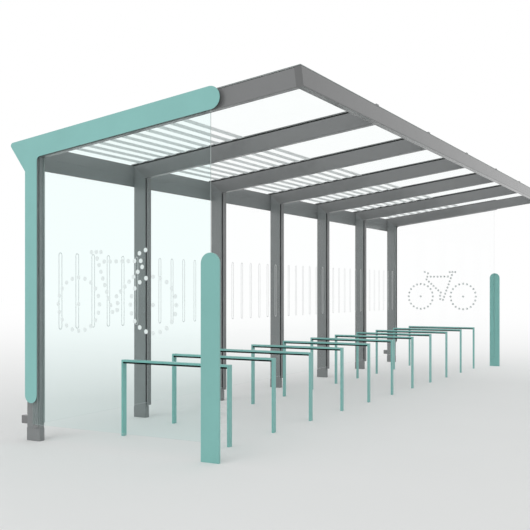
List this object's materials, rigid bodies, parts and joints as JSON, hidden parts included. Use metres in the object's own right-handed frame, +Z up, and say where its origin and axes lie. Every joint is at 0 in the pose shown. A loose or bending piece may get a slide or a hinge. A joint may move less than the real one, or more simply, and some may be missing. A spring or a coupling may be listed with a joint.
{
  "type": "long bicycle shelter",
  "caption": "Open-fronted bicycle shelter with tube frames, sloping glass roof, glass rear wall and ends, rear gutter and flat-bar bike stands.",
  "frame": {"origin": "middle of the footprint, on the ground", "axes": "+X along the shelter, towards its right end as seen from the open front; -Y towards the open front; +Z up"},
  "size_m": [9.144, 2.8578, 2.969],
  "materials": {
    "frame_grey": "satin powder coat, dark grey",
    "teal_paint": "satin powder coat, teal",
    "clear_glass": "clear toughened glass, printed bands and slots",
    "black_rubber": "matte black rubber"
  },
  "bodies": {
    "root": {"bike_stand_1": "teal_paint", "bike_stand_10": "teal_paint", "bike_stand_11": "teal_paint", "bike_stand_2": "teal_paint", "bike_stand_3": "teal_paint", "bike_stand_4": "teal_paint", "bike_stand_5": "teal_paint", "bike_stand_6": "teal_paint", "bike_stand_7": "teal_paint", "bike_stand_8": "teal_paint", "bike_stand_9": "teal_paint", "bollard_left": "teal_paint", "bollard_right": "teal_paint", "cover_studs": "teal_paint", "end_cover_left": "teal_paint", "end_cover_right": "teal_paint", "end_glass_left": "clear_glass", "end_glass_right": "clear_glass", "end_seals": "frame_grey", "front_beam": "frame_grey", "front_beam_end_plates": "frame_grey", "gutter": "frame_grey", "post_1": "frame_grey", "post_2": "frame_grey", "post_3": "frame_grey", "post_4": "frame_grey", "post_5": "frame_grey", "post_6": "frame_grey", "post_7": "frame_grey", "post_shoes": "frame_grey", "rafter_1": "frame_grey", "rafter_2": "frame_grey", "rafter_3": "frame_grey", "rafter_4": "frame_grey", "rafter_5": "frame_grey", "rafter_6": "frame_grey", "rafter_7": "frame_grey", "rain_spouts": "frame_grey", "rear_clamp_strips": "frame_grey", "rear_glass": "clear_glass", "rear_wall_seals": "black_rubber", "roof_cap_strips": "frame_grey", "roof_glass": "clear_glass", "roof_seal": "black_rubber", "stand_rubbers": "black_rubber"}
  },
  "joints": []
}
